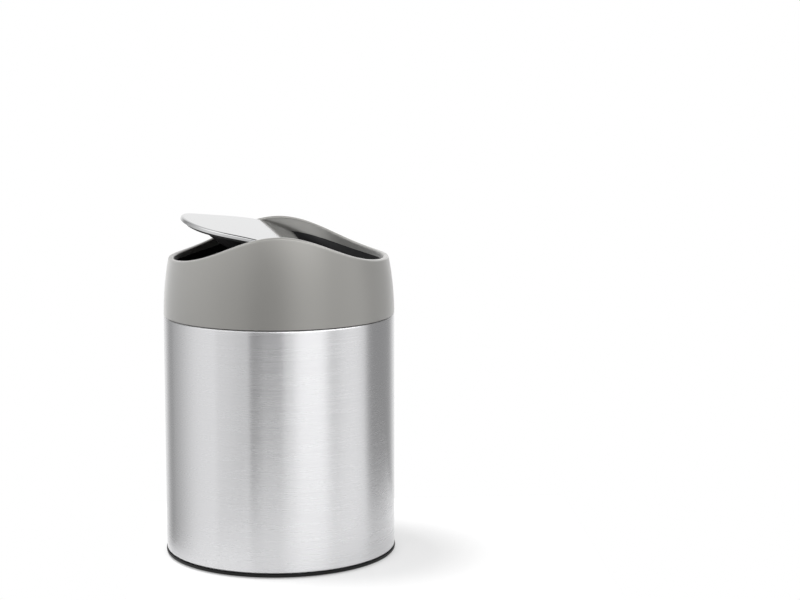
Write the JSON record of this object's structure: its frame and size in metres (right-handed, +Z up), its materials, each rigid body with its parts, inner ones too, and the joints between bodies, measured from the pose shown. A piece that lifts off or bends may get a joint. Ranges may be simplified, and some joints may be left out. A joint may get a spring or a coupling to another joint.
{
  "type": "push top countertop bin",
  "caption": "Small round steel countertop bin with a wave-rimmed moulded top and a weighted see-saw lid that tips when pushed and swings level again.",
  "frame": {"origin": "centre of the base on the worktop plane, under the tube's axis", "axes": "+Z up along the tube's axis; the lid's hinge line runs along Y; -Y is the front, and the lid's +X wing is the one that is pushed down"},
  "size_m": [0.1208, 0.1208, 0.1777],
  "materials": {
    "brushed_steel": "brushed round the tube, satin",
    "polished_steel": "polished almost to a mirror",
    "plain_steel": "plain, turned or sheared",
    "grey_plastic": "satin moulded, warm grey",
    "black_plastic": "matt moulded, black",
    "bush_plastic": "smooth moulded, black",
    "black_rubber": "soft and dull"
  },
  "bodies": {
    "root": {"body_tube": "brushed_steel", "base_cup": "black_plastic", "non_skid_ring": "black_rubber"},
    "top": {"collar": "grey_plastic", "inner_sleeve": "black_plastic", "front_pivot_bush": "bush_plastic", "rear_pivot_bush": "bush_plastic"},
    "lid": {"lid_plate": "polished_steel", "bonding_pads": "black_rubber", "lid_backing": "black_plastic", "front_pivot_pin": "plain_steel", "rear_pivot_pin": "plain_steel", "front_stop_bumper": "black_rubber", "rear_stop_bumper": "black_rubber", "counterweight": "plain_steel", "weight_cover": "black_plastic", "cover_screws": "plain_steel"}
  },
  "joints": [
    {"name": "top_lift", "type": "slide", "parent": "root", "child": "top", "axis": [0, 0, 1], "range_m": [0, 0.06]},
    {"name": "lid_tilt", "type": "hinge", "parent": "top", "child": "lid", "pos_m": [0, 0, 0.161], "axis": [0, 1, 0], "range_deg": [-89, 41]}
  ]
}
